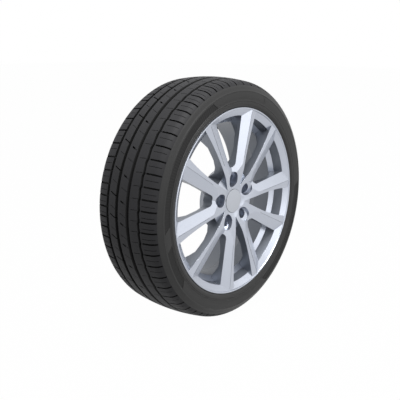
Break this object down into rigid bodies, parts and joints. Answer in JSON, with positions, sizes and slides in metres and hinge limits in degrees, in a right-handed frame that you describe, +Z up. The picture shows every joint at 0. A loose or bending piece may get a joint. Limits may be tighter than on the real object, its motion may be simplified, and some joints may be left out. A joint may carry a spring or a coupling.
{
  "type": "car tyre on alloy wheel",
  "caption": "Low-profile road tyre with a grooved tread, mounted on a ten-spoke cast alloy wheel with a centre cap and valve; bolts to a car's hub.",
  "frame": {"origin": "centre of the wheel, on the spin axis and on the rim's middle plane", "axes": "+Y along the spin axis towards the car, so the face that shows looks along -Y; +Z up"},
  "size_m": [0.645, 0.214, 0.645],
  "materials": {
    "tyre_rubber": "moulded matt rubber",
    "wheel_paint": "silver lacquered casting",
    "cap_plastic": "silver lacquered plastic",
    "ring_steel": "spring steel wire",
    "valve_rubber": "moulded rubber",
    "valve_brass": "turned brass",
    "valve_plastic": "moulded plastic"
  },
  "bodies": {
    "root": {"tyre": "tyre_rubber", "alloy_wheel": "wheel_paint", "centre_cap": "cap_plastic", "cap_ring": "ring_steel", "valve_body": "valve_rubber", "valve_stem": "valve_brass", "valve_core": "valve_brass", "valve_cap": "valve_plastic"}
  },
  "joints": []
}
